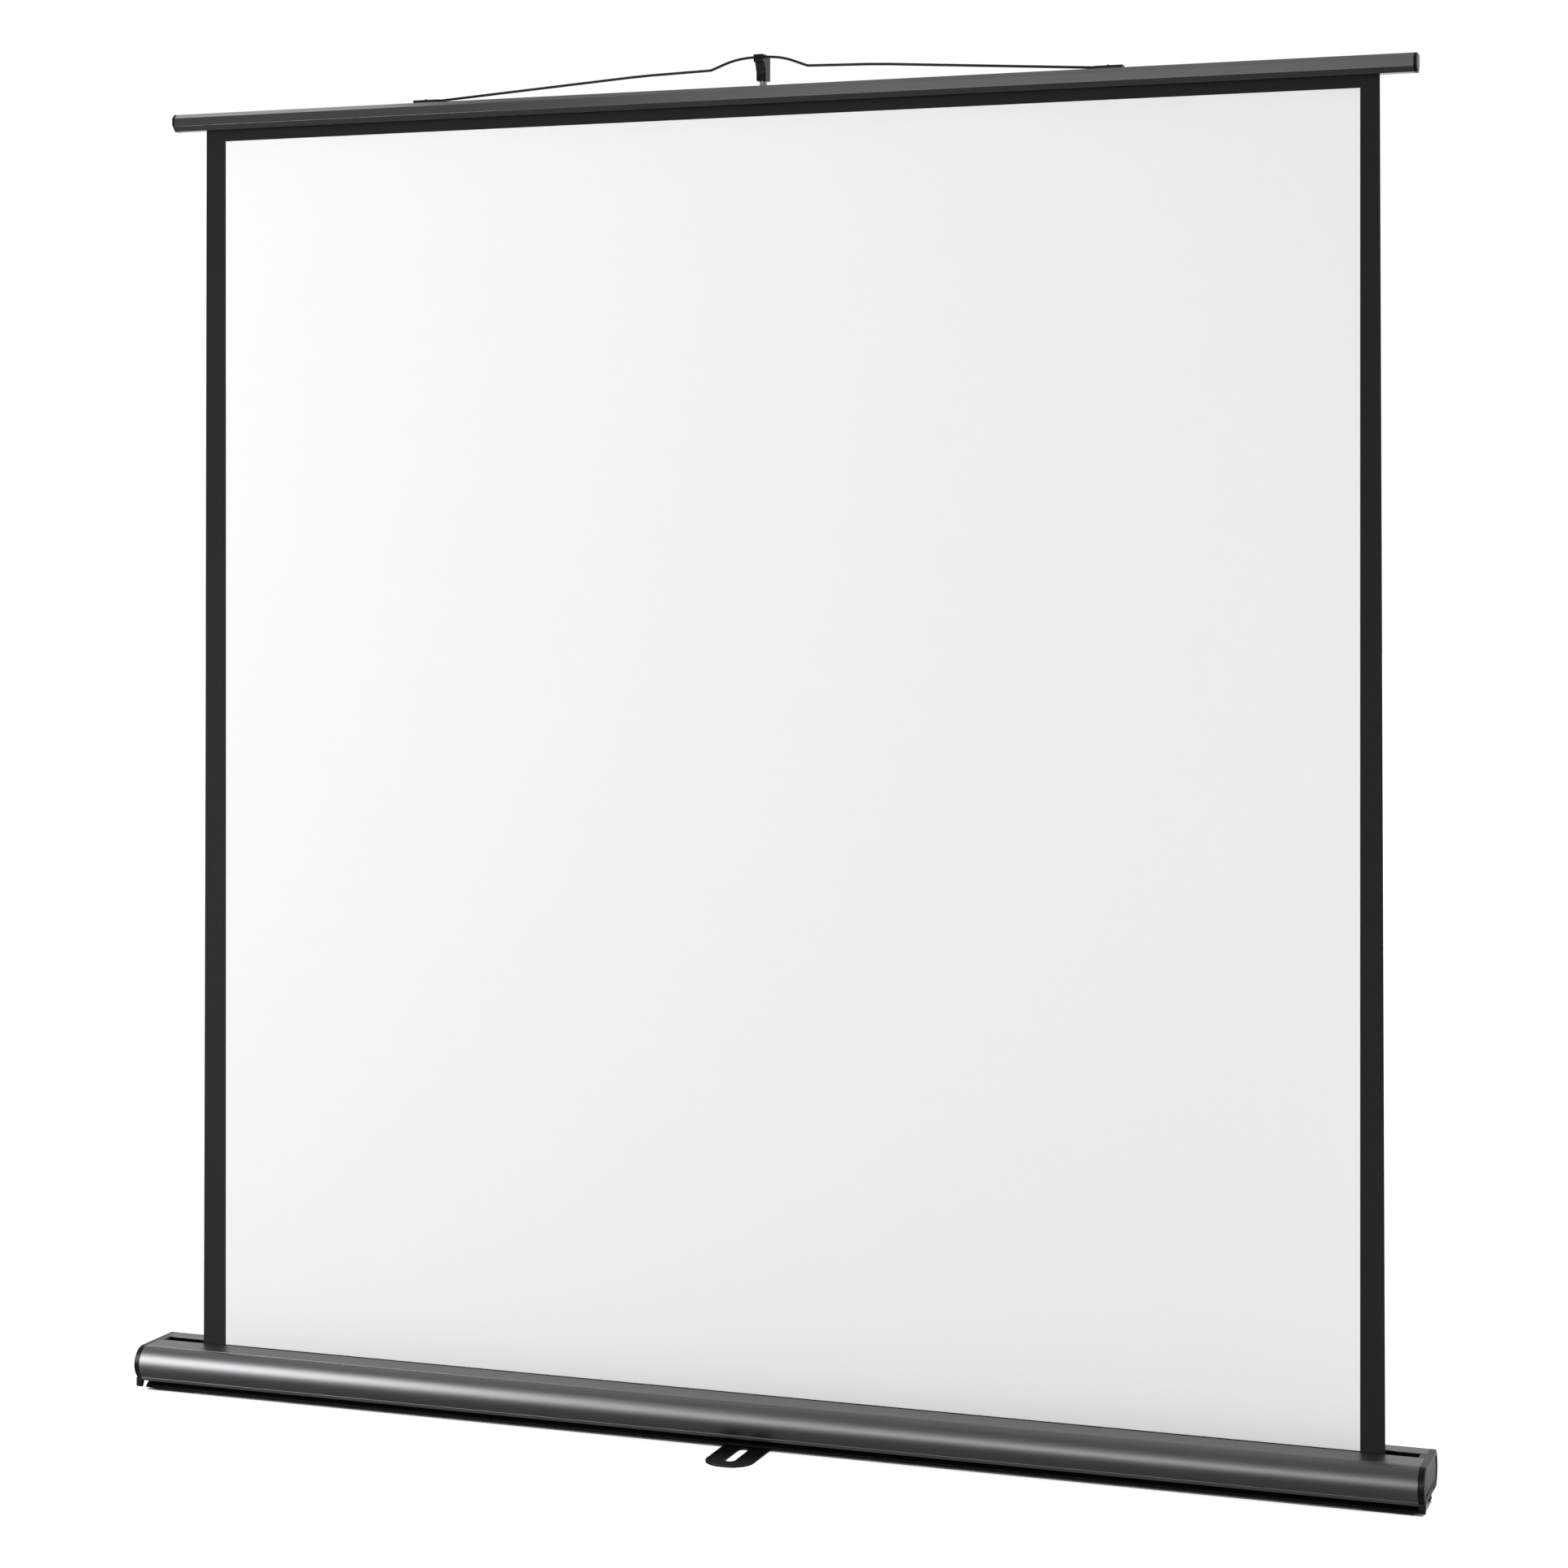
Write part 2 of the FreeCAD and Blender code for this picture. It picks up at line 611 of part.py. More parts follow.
def wire_y(x):
    """The wire bows back from the bar to the hook, evenly along its length."""
    return wire_hook_y + (wire_bar_y - wire_hook_y) * x / wire_leave


hump_shoulder = wire_hump_rise - wire_hump_drop
right_half = [(0.0, wire_hump_rise), (wire_kink / 2, hump_shoulder), (wire_kink, wire_kink_rise)]
right_half += reversed(wire_wing)
wire_run = [Vector(screen_offset + x, wire_y(x), bar_top + rise) for x, rise in right_half]
wire_run.append(Vector(screen_offset + wire_leave, wire_bar_y, bar_top + wire_seat))
wire_run.append(Vector(screen_offset + wire_end, wire_bar_y, bar_top + wire_seat))
mirrored = [Vector(2 * screen_offset - p.x, p.y, p.z) for p in wire_run[:0:-1]]
wire_points = mirrored + wire_run


def wire_radius_at(i):
    """The largest arc that the runs on both sides leave room for."""
    if i in (0, len(wire_points) - 1):
        return 0
    before = wire_points[i - 1] - wire_points[i]
    after = wire_points[i + 1] - wire_points[i]
    turn = math.pi - before.getAngle(after)
    return wire_bend_share * min(before.Length, after.Length) / math.tan(turn / 2)


wire_radii = [wire_radius_at(i) for i in range(len(wire_points))]
for i, point in enumerate(wire_points):
    if abs(abs(point.x - screen_offset) - wire_kink) < 1e-6:
        wire_radii[i] = kink_radius
wire_path = rounded_wire(wire_points, wire_radii, closed=False)
wire_start = wire_points[0]
wire_section = Part.Wire(Part.makeCircle(wire_radius, wire_start, Vector(1, 0, 0)))
wire = wire_path.makePipeShell([wire_section], True, False)
save("hanger_wire", wire)
print("hanger wire: volume share", round(wire.Volume / (wire_path.Length * math.pi * wire_radius ** 2), 4))


# Clips that hold the wire's ends on the bar, each with two rivets
def wire_clip(side):
    low, high = sorted((screen_offset + side * clip_inner, screen_offset + side * clip_outer))
    y0, y1 = wire_bar_y - clip_width / 2, wire_bar_y + clip_width / 2
    ends = [(y0, bar_top), (y0, bar_top + clip_height), (y1, bar_top + clip_height), (y1, bar_top)]
    clip = along_x(side_outline(ends, [0, clip_corner, clip_corner, 0]), low, high)
    clip = clip.cut(wire)
    for x, y in rivet_places:
        clip = clip.cut(rod((x, y, bar_top - 1), (0, 0, 1), rivet_radius + fit, 2 * clip_height))
    return clip


def rivet(x, y):
    shank_bottom = bar_top - bar_wall
    top = bar_top + clip_height
    shank = rod((x, y, shank_bottom), (0, 0, 1), rivet_radius, top - shank_bottom)
    head = cone((x, y, top), (0, 0, 1), rivet_head_radius, rivet_head_radius * 0.6, rivet_head_height)
    return shank.fuse(head).removeSplitter()


save("wire_clips", Part.makeCompound([wire_clip(-1), wire_clip(1)]))
save("clip_rivets", Part.makeCompound([rivet(x, y) for x, y in rivet_places]))

# Mast bracket: a base screwed to the case's rear strip, with two ears for the pivot
ear_gap = knuckle_width / 2 + running_gap
base_top = case_top + bracket_base
bracket = stadium(mast_x, mast_y - bracket_depth / 2, mast_y + bracket_depth / 2,
                  bracket_length, bracket_corner, case_top, base_top)
for side in (-1, 1):
    ear_y0, ear_y1 = sorted((mast_y + side * ear_gap, mast_y + side * (ear_gap + ear_thickness)))
    ear = box(mast_x - ear_width / 2, mast_x + ear_width / 2, ear_y0, ear_y1, case_top, pivot_height)
    ear = ear.fuse(rod((mast_x, ear_y0, pivot_height), (0, 1, 0), ear_width / 2, ear_thickness))
    bracket = bracket.fuse(ear)
bracket = bracket.cut(rod((mast_x, mast_y - bracket_depth, pivot_height), (0, 1, 0), pin_radius + fit,
                          2 * bracket_depth))
head_cone = bracket_screw_head_radius - bracket_screw_radius
for x, y in bracket_holes:
    bracket = bracket.cut(rod((x, y, case_top - 1), (0, 0, 1), bracket_screw_radius + fit, 2 * bracket_base))
    bracket = bracket.cut(cone((x, y, base_top - head_cone), (0, 0, 1), bracket_screw_radius + fit,
                               bracket_screw_head_radius + fit, head_cone))
save("mast_bracket", bracket.removeSplitter())


def bracket_screw(x, y):
    shank = rod((x, y, base_top - bracket_screw_length), (0, 0, 1), bracket_screw_radius,
                bracket_screw_length)
    head = cone((x, y, base_top - head_cone), (0, 0, 1), bracket_screw_radius, bracket_screw_head_radius,
                head_cone)
    socket = rod((x, y, base_top - head_cone / 2), (0, 0, 1), screw_socket_radius, head_cone)
    return shank.fuse(head).cut(socket).removeSplitter()


save("bracket_screws", Part.makeCompound([bracket_screw(x, y) for x, y in bracket_holes]))
pin_half = ear_gap + ear_thickness + fit
pin = rod((mast_x, mast_y - pin_half, pivot_height), (0, 1, 0), pin_radius, 2 * pin_half)
for side in (-1, 1):
    pin = pin.fuse(rod((mast_x, mast_y + side * pin_half, pivot_height), (0, side, 0), pin_head_radius,
                       pin_head_height))
save("mast_pivot_pin", pin.removeSplitter())

# Mast: four tubes that slide into each other, standing in a folding knuckle
tube_bottom = pivot_height + tube_start
steps = len(tube_radii) - 1
tube_length = (mast_top - tube_bottom + steps * tube_overlap) / (steps + 1)
tube_bottoms = [tube_bottom + i * (tube_length - tube_overlap) for i in range(steps + 1)]


def mast_rod(radius, z0, z1):
    return rod((mast_x, mast_y, z0), (0, 0, 1), radius, z1 - z0)


socket_radius = tube_radii[0] + socket_wall
knuckle = mast_rod(socket_radius, tube_bottom - socket_floor, tube_bottom + socket_depth)
knuckle = knuckle.cut(mast_rod(tube_radii[0] + fit, tube_bottom, tube_bottom + socket_depth))
tongue_y = mast_y - knuckle_width / 2
knuckle = knuckle.fuse(box(mast_x - knuckle_eye_radius, mast_x + knuckle_eye_radius, tongue_y,
                           tongue_y + knuckle_width, pivot_height, tube_bottom - socket_floor / 2))
knuckle = knuckle.fuse(rod((mast_x, tongue_y, pivot_height), (0, 1, 0), knuckle_eye_radius, knuckle_width))
knuckle = knuckle.cut(rod((mast_x, tongue_y, pivot_height), (0, 1, 0), pin_radius + fit, knuckle_width))
save("mast_knuckle", knuckle.removeSplitter())

for i, radius in enumerate(tube_radii):
    z0, z1 = tube_bottoms[i], tube_bottoms[i] + tube_length
    tube = mast_rod(radius, z0, z1).cut(mast_rod(radius - tube_wall, z0, z1))
    if i < steps:
        tube = tube.cut(rod((mast_x, mast_y, z1 - clamp_drop), (0, 1, 0), clamp_screw_radius + running_gap,
                            2 * radius))
    save("mast_tube_%d" % (i + 1), tube)


# Clamp collar on the top of each outer tube
def collar(i):
    radius = tube_radii[i]
    top = tube_bottoms[i] + tube_length
    ring = mast_rod(radius + collar_wall, top - collar_below, top + collar_lip)
    rim = [e for e in ring.Edges if e.Closed and len(e.Vertexes) == 1]
    ring = ring.makeFillet(collar_wall / 3, rim)
    clamp_y = mast_y + radius + collar_wall + clamp_boss_length
    boss = rod((mast_x, mast_y, top - clamp_drop), (0, 1, 0), clamp_boss_radius, clamp_y - mast_y)
    ring = ring.fuse(boss)
    ring = ring.cut(mast_rod(radius + fit, top - collar_below, top))
    ring = ring.cut(mast_rod(tube_radii[i + 1] + running_gap, top, top + collar_lip))
    ring = ring.cut(rod((mast_x, mast_y, top - clamp_drop), (0, 1, 0), clamp_screw_radius + fit,
                        clamp_y - mast_y))
    return ring.removeSplitter()


# Thumb knob: a scalloped wheel on the clamp screw
def knob(i):
    radius = tube_radii[i]
    z = tube_bottoms[i] + tube_length - clamp_drop
    wheel_y = mast_y + radius + collar_wall + clamp_boss_length + knob_gap
    tip_y = mast_y + tube_radii[i + 1] + running_gap
    wheel = rod((mast_x, wheel_y, z), (0, 1, 0), knob_radius, knob_thickness)
    rim = [e for e in wheel.Edges if e.Closed and len(e.Vertexes) == 1]
    wheel = wheel.makeFillet(knob_thickness / 8, rim)
    for k in range(knob_scallops):
        angle = 2 * math.pi * k / knob_scallops
        reach = knob_radius + knob_scallop_radius / 2
        wheel = wheel.cut(rod((mast_x + reach * math.cos(angle), wheel_y, z + reach * math.sin(angle)),
                              (0, 1, 0), knob_scallop_radius, knob_thickness))
    shank = rod((mast_x, tip_y, z), (0, 1, 0), clamp_screw_radius, wheel_y - tip_y + knob_thickness / 2)
    return wheel.fuse(shank).removeSplitter()


for i in range(steps):
    save("mast_collar_%d" % (i + 1), collar(i))
    save("clamp_knob_%d" % (i + 1), knob(i))

# Hook head: moulded block on the thinnest tube, with a swan neck, a lip and a groove for the wire
head_back = mast_y + head_back_wall
head_points = [(head_front, head_top), (head_front, lip_bottom), (neck_front, lip_bottom + neck_rise),
               (body_front, body_shoulder), (body_front, head_bottom), (head_back, head_bottom),
               (head_back, head_top)]
head = along_x(side_outline(head_points, head_radii), mast_x - head_width / 2, mast_x + head_width / 2)
groove_y0 = head_front + lip_thickness
groove = box(mast_x - head_width / 2, mast_x + head_width / 2, groove_y0, groove_y0 + groove_width,
             bar_top, 2 * head_top - bar_top)
groove_floor = wire.common(groove).BoundBox.ZMin - groove_floor_gap
groove.translate(Vector(0, 0, groove_floor - bar_top))
head = head.cut(groove)
head = head.cut(mast_rod(tube_radii[-1] + fit, head_bottom - 1, mast_top + fit))
save("hook_head", head.removeSplitter())
print("mast tubes", round(tube_length, 2), "long, feet at", [round(z, 2) for z in tube_bottoms])
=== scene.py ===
import json
import math

import bpy
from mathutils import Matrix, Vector

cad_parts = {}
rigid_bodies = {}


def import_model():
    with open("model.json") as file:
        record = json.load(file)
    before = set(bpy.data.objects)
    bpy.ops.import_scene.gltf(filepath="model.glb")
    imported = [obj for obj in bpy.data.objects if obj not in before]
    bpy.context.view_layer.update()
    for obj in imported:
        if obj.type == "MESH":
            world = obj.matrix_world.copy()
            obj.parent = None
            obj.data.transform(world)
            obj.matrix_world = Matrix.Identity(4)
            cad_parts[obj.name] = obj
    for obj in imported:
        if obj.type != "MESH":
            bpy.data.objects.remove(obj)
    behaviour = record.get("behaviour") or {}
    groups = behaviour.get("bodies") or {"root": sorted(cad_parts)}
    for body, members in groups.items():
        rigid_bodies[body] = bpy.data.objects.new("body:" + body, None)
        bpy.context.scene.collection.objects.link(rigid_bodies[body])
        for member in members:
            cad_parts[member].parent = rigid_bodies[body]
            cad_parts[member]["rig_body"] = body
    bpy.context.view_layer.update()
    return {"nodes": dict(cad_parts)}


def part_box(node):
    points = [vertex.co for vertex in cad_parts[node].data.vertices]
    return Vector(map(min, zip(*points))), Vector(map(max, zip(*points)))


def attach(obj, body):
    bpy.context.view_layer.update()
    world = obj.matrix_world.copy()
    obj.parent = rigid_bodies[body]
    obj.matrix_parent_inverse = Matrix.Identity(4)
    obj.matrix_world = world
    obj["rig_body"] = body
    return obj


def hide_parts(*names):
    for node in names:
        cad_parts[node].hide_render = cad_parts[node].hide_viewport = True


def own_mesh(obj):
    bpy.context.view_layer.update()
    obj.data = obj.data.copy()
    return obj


# A floor-standing pull-up projection screen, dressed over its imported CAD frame. Metres, X along the
# screen, -Y towards the audience, Z up, with the origin on the floor under the middle of the case.
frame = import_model()
mm = 0.001

# Photograph's view: a long lens at chest height, to the right of the middle. The camera is level
# and the frame is shifted down, so that the uprights stay parallel.
level = math.pi / 2
turned_left = math.radians(19.7)
bpy.ops.object.select_all(action="DESELECT")
bpy.ops.object.camera_add(location=(1.445, -3.903, 1.150), rotation=(level, 0, turned_left))
camera = bpy.context.object
camera.data.sensor_width = 36
camera.data.lens = 74.59
camera.data.shift_y = -0.1532
bpy.context.scene.camera = camera
bpy.context.scene.view_settings.view_transform = "Standard"


# Studio lamps: the key on the left and the fill in front light the cloth and the floor, and mirrors
# don't show them. The panels show only in mirrors: low and left draw the streak along the case, far
# and top the face and bevel of the bar. The side softbox lights the face of the right end cap.
def softbox(name, place, aim, width, height, radiance):
    """A rectangular lamp that faces a point; its power follows from how bright its face is."""
    bpy.ops.object.light_add(type="AREA", location=place)
    lamp = bpy.context.object
    lamp.name = name
    lamp.rotation_euler = (Vector(aim) - Vector(place)).to_track_quat("-Z", "Y").to_euler()
    lamp.data.shape = "RECTANGLE"
    lamp.data.size = width
    lamp.data.size_y = height
    lamp.data.energy = math.pi * radiance * width * height
    lamp.visible_camera = False
    return lamp


key = softbox("key_softbox", (-3.7, -2.7, 2.2), (-0.2, 0.0, 0.6), width=1.2, height=2.4, radiance=10.2)
panels = [
    softbox("low_panel", (-0.35, -3.2, 0.62), (0.0, 0.0, 0.1), width=2.6, height=1.2, radiance=4.3),
    softbox("left_panel", (-1.52, -1.15, 0.65), (-0.8, -0.05, 0.04), width=1.0, height=0.92, radiance=10.8),
    softbox("far_panel", (-1.9, -9.0, 2.95), (0.0, 0.0, 1.72), width=3.6, height=1.6, radiance=0.65),
    softbox("top_panel", (-1.75, 0.25, 3.2), (-1.75, 0.25, 0.0), width=1.1, height=0.36, radiance=1.4)]
fill = softbox("fill_softbox", (1.2, -6.0, 2.2), (0.0, 0.0, 0.9), width=3.0, height=2.4, radiance=1.6)
softbox("side_softbox", (2.6, -0.2, 0.35), (0.87, 0.0, 0.04), width=0.5, height=0.6, radiance=16.0)
for panel in panels:
    panel.visible_diffuse = False
for lamp in (key, fill):
    lamp.visible_glossy = False


# White room: pure white to the camera and a little dimmer to matt surfaces. Mirrors see it fade
# towards the audience, so that the dark metal stays dark.
def node(tree, kind, inputs=None, **settings):
    """Adds a shader node. An input takes a value, or a link from another node's output."""
    added = tree.nodes.new(kind)
    for setting, value in settings.items():
        setattr(added, setting, value)
    for socket, value in (inputs or {}).items():
        if isinstance(value, bpy.types.NodeSocket):
            tree.links.new(value, added.inputs[socket])
        else:
            added.inputs[socket].default_value = value
    return added


matt_share = 0.74
audience_share = 0.33
room = bpy.data.worlds.new("white_room")
bpy.context.scene.world = room
room.use_nodes = True
sky = room.node_tree
sky.nodes.clear()
rays = node(sky, "ShaderNodeLightPath")
direction = node(sky, "ShaderNodeTexCoord")
axes = node(sky, "ShaderNodeSeparateXYZ", {0: direction.outputs["Generated"]})
fade = node(sky, "ShaderNodeMapRange", {"Value": axes.outputs["Y"], "From Min": -0.3, "From Max": 0.5,
                                        "To Min": audience_share, "To Max": 1.0})
mirror_rays = node(sky, "ShaderNodeMath",
                   {0: rays.outputs["Is Glossy Ray"], 1: rays.outputs["Is Transmission Ray"]},
                   operation="MAXIMUM")
unseen = node(sky, "ShaderNodeMix", {0: mirror_rays.outputs[0], 2: matt_share, 3: fade.outputs[0]})
strength = node(sky, "ShaderNodeMix", {0: rays.outputs["Is Camera Ray"], 2: unseen.outputs[0], 3: 1.0})
backdrop = node(sky, "ShaderNodeBackground", {"Color": (1, 1, 1, 1), "Strength": strength.outputs[0]})
node(sky, "ShaderNodeOutputWorld", {"Surface": backdrop.outputs[0]})


# Studio floor: white paper, lifted to pure white for the camera except in the footprint of the base rail,
# where a mask by place leaves the lift out and so paints the shadow under the rail over its real shade.
# Mirrors see it grey in front of the case and white behind, and it bounces a little less light.
def linear(code):
    """An sRGB hex colour as linear RGBA."""
    parts = [int(code[i:i + 2], 16) / 255 for i in (1, 3, 5)]
    return tuple(p / 12.92 if p <= 0.04045 else ((p + 0.055) / 1.055) ** 2.4 for p in parts) + (1.0,)


white_paper = linear("#e6e6e6")
bouncing_paper = linear("#c0c0c0")
mirrored_paper = linear("#767676")
camera_lift = 0.68
mirror_lift = 0.35
rail_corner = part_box("base_rail")[1]
bpy.ops.mesh.primitive_plane_add(size=60)
floor = bpy.context.object
floor.name = "studio_floor"
paper = bpy.data.materials.new("white_studio_paper")
paper.use_nodes = True
tree = paper.node_tree
tree.nodes.clear()
rays = node(tree, "ShaderNodeLightPath")
place = node(tree, "ShaderNodeTexCoord")
axes = node(tree, "ShaderNodeSeparateXYZ", {0: place.outputs["Object"]})
far_side = node(tree, "ShaderNodeMapRange", {"Value": axes.outputs["Y"], "From Min": -0.12, "From Max": 0.21})
mirrored = node(tree, "ShaderNodeMix", {0: far_side.outputs[0], 6: mirrored_paper, 7: white_paper},
                data_type="RGBA")
bounced = node(tree, "ShaderNodeMix", {0: rays.outputs["Is Diffuse Ray"], 6: white_paper, 7: bouncing_paper},
               data_type="RGBA")
tone = node(tree, "ShaderNodeMix",
            {0: rays.outputs["Is Glossy Ray"], 6: bounced.outputs[2], 7: mirrored.outputs[2]},
            data_type="RGBA")
matt = node(tree, "ShaderNodeBsdfDiffuse", {"Color": tone.outputs[2]})
# Mask of the floor outside the base rail's footprint: inside it the camera lift is left out, which paints the
# shadow under the rail by place.
sideways = node(tree, "ShaderNodeMath", {0: axes.outputs["X"]}, operation="ABSOLUTE")
beside = node(tree, "ShaderNodeMath", {0: sideways.outputs[0], 1: rail_corner.x}, operation="GREATER_THAN")
forwards = node(tree, "ShaderNodeMath", {0: axes.outputs["Y"]}, operation="ABSOLUTE")
before = node(tree, "ShaderNodeMath", {0: forwards.outputs[0], 1: rail_corner.y}, operation="GREATER_THAN")
clear = node(tree, "ShaderNodeMath", {0: beside.outputs[0], 1: before.outputs[0]}, operation="MAXIMUM")
seen = node(tree, "ShaderNodeMath", {0: rays.outputs["Is Camera Ray"], 1: camera_lift}, operation="MULTIPLY")
shown = node(tree, "ShaderNodeMath", {0: rays.outputs["Is Glossy Ray"], 1: far_side.outputs[0]},
             operation="MULTIPLY")
both_rays = node(tree, "ShaderNodeMath", {0: shown.outputs[0], 1: mirror_lift, 2: seen.outputs[0]},
                 operation="MULTIPLY_ADD")
lift = node(tree, "ShaderNodeMath", {0: both_rays.outputs[0], 1: clear.outputs[0]}, operation="MULTIPLY")
glow = node(tree, "ShaderNodeEmission", {"Color": (1, 1, 1, 1), "Strength": lift.outputs[0]})
lit_paper = node(tree, "ShaderNodeAddShader", {0: matt.outputs[0], 1: glow.outputs[0]})
node(tree, "ShaderNodeOutputMaterial", {"Surface": lit_paper.outputs[0]})
floor.data.materials.append(paper)


# Case housing: one long aluminium extrusion with a slot along its top, a round front and back and a
# lip along the foot. It is anodised graphite and holds the roller; the end caps screw into it.
def arc_through(a, b, c, steps):
    """Points from a to c on the circle through b."""
    (ax, ay), (bx, by), (cx, cy) = a, b, c
    d = 2 * (ax * (by - cy) + bx * (cy - ay) + cx * (ay - by))
    a2, b2, c2 = ax * ax + ay * ay, bx * bx + by * by, cx * cx + cy * cy
    x = (a2 * (by - cy) + b2 * (cy - ay) + c2 * (ay - by)) / d
    y = (a2 * (cx - bx) + b2 * (ax - cx) + c2 * (bx - ax)) / d
    radius = math.hypot(ax - x, ay - y)
    start, middle, end = (math.atan2(q - y, p - x) for p, q in (a, b, c))
    turn = (end - start) % (2 * math.pi)
    if (middle - start) % (2 * math.pi) > turn:
        turn -= 2 * math.pi
    angles = [start + turn * i / steps for i in range(steps + 1)]
    return [(x + radius * math.cos(t), y + radius * math.sin(t)) for t in angles]


def extruded(name, section, x0, x1):
    """A section of (y, z) points pulled along X, as from a die."""
    bpy.ops.object.select_all(action="DESELECT")
    bpy.ops.mesh.primitive_circle_add(vertices=len(section), fill_type="NGON")
    piece = bpy.context.object
    piece.name = name
    for vertex, (y, z) in zip(piece.data.vertices, section):
        vertex.co = (x0, y, z)
    bpy.ops.object.mode_set(mode="EDIT")
    bpy.ops.mesh.select_all(action="SELECT")
    bpy.ops.mesh.extrude_region_move(TRANSFORM_OT_translate={"value": (x1 - x0, 0, 0)})
    bpy.ops.mesh.select_all(action="SELECT")
    bpy.ops.mesh.normals_make_consistent(inside=False)
    bpy.ops.object.mode_set(mode="OBJECT")
    return piece


def soften(piece, width, angle=32):
    """Rounds the edges sharper than the angle, shades the round faces smooth and keeps the flats flat."""
    bpy.ops.object.select_all(action="DESELECT")
    piece.select_set(True)
    bpy.context.view_layer.objects.active = piece
    if width:
        edge = piece.modifiers.new("edge", "BEVEL")
        edge.width = width
        edge.segments = 2
        edge.limit_method = "ANGLE"
        edge.angle_limit = math.radians(angle)
        bpy.ops.object.modifier_apply(modifier=edge.name)
    bpy.ops.object.shade_smooth_by_angle(angle=math.radians(angle))
    flats = piece.modifiers.new("flats", "WEIGHTED_NORMAL")
    flats.keep_sharp = True
    bpy.ops.object.modifier_apply(modifier=flats.name)


# The section in millimetres, from the slot round the outside and back along the inside of the wall.
# A groove runs along the top before the bulge, and the lip leans in, so that it mirrors the floor.
case_top = 61
case_foot = 16.6
bulge = 35.5
lip = 20.6
wall = 1.6
slot_front = -3
slot_back = 17
groove_floor = 60.3
outside = [(slot_front, case_top)]
outside += [(-38.6, case_top), (-38.6, groove_floor), (-39.8, groove_floor), (-39.8, case_top)]
outside += arc_through((-41, case_top), (-58, bulge), (-52.4, 21.4), 40)
outside += [(-51.4, 21.4), (-51.4, lip), (-52, lip), (-51.2, 17.2), (-50.6, case_foot)]
outside += [(41.2, case_foot), (42, 17.4)]
outside += arc_through((42, lip), (48.5, bulge), (40, case_top), 30)
outside += [(slot_back, case_top)]
inside = [(slot_back, case_top - wall)]
inside += arc_through((38.9, case_top - wall), (46.9, bulge), (40.4, lip), 20)
inside += [(40.4, case_foot + wall), (-50.4, case_foot + wall)]
inside += arc_through((-50, lip), (-56.4, bulge), (-40.2, case_top - wall), 30)
inside += [(slot_front, case_top - wall)]
case_low, case_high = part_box("case_housing")
housing = extruded("case_shell", [(y * mm, z * mm) for y, z in outside + inside], case_low.x, case_high.x)
soften(housing, 0.35 * mm)
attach(housing, "case")
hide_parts("case_housing")


# Anodised aluminium, drawn through a die: dark satin, with faint lines along the extrusion that
# stretch the light. The real lines are about 0.2 mm apart, and 2 mm here so that they show.
def new_finish(name, metallic=0.0):
    """A new material, its node tree and its shader."""
    made = bpy.data.materials.new(name)
    made.use_nodes = True
    skin = made.node_tree.nodes["Principled BSDF"]
    skin.inputs["Metallic"].default_value = metallic
    return made, made.node_tree, skin


line_length = 250 * mm
line_gap = 2 * mm
along_x = (1 / line_length, 1 / line_gap, 1 / line_gap)


def anodised(name, dark, pale, smooth, rough):
    """Anodised aluminium with its die lines along X."""
    metal, tree, skin = new_finish(name, metallic=1.0)
    place = node(tree, "ShaderNodeTexCoord")
    along = node(tree, "ShaderNodeMapping", {"Vector": place.outputs["Object"], "Scale": along_x})
    lines = node(tree, "ShaderNodeTexNoise", {"Vector": along.outputs[0], "Scale": 1.0, "Detail": 2.0})
    tint = node(tree, "ShaderNodeMix", {0: lines.outputs["Fac"], 6: linear(dark), 7: linear(pale)},
                data_type="RGBA")
    gloss = node(tree, "ShaderNodeMapRange",
                 {"Value": lines.outputs["Fac"], "To Min": smooth, "To Max": rough})
    ridges = node(tree, "ShaderNodeBump",
                  {"Height": lines.outputs["Fac"], "Strength": 0.03, "Distance": 0.2 * mm})
    tree.links.new(tint.outputs[2], skin.inputs["Base Color"])
    tree.links.new(gloss.outputs[0], skin.inputs["Roughness"])
    tree.links.new(ridges.outputs[0], skin.inputs["Normal"])
    return metal


def clad(pieces, material):
    """Gives pieces a material."""
    for piece in pieces:
        piece.data.materials.append(material)


clad([housing], anodised("anodised_graphite_aluminium", "#626263", "#6c6c6d", 0.40, 0.46))


# End caps: moulded plates with a sunk panel, a double rib and a tongue that closes the slot, each
# held to the extrusion by three screws. The roller turns in a boss on their inner face.
def dressed(name, edge=0.0):
    """A merged copy of a CAD node with softened edges, which stands for the node."""
    source = frame["nodes"][name]
    piece = bpy.data.objects.new(name + "_made", source.data.copy())
    piece.data.materials.clear()
    bpy.context.scene.collection.objects.link(piece)
    bpy.ops.object.select_all(action="DESELECT")
    piece.select_set(True)
    bpy.context.view_layer.objects.active = piece
    bpy.ops.object.mode_set(mode="EDIT")
    bpy.ops.mesh.select_all(action="SELECT")
    bpy.ops.mesh.remove_doubles(threshold=0.002 * mm)
    bpy.ops.mesh.dissolve_limited(angle_limit=math.radians(0.5))
    bpy.ops.object.mode_set(mode="OBJECT")
    soften(piece, edge)
    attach(piece, source["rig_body"])
    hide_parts(name)
    return piece


caps = [dressed("end_cap_left"), dressed("end_cap_right")]

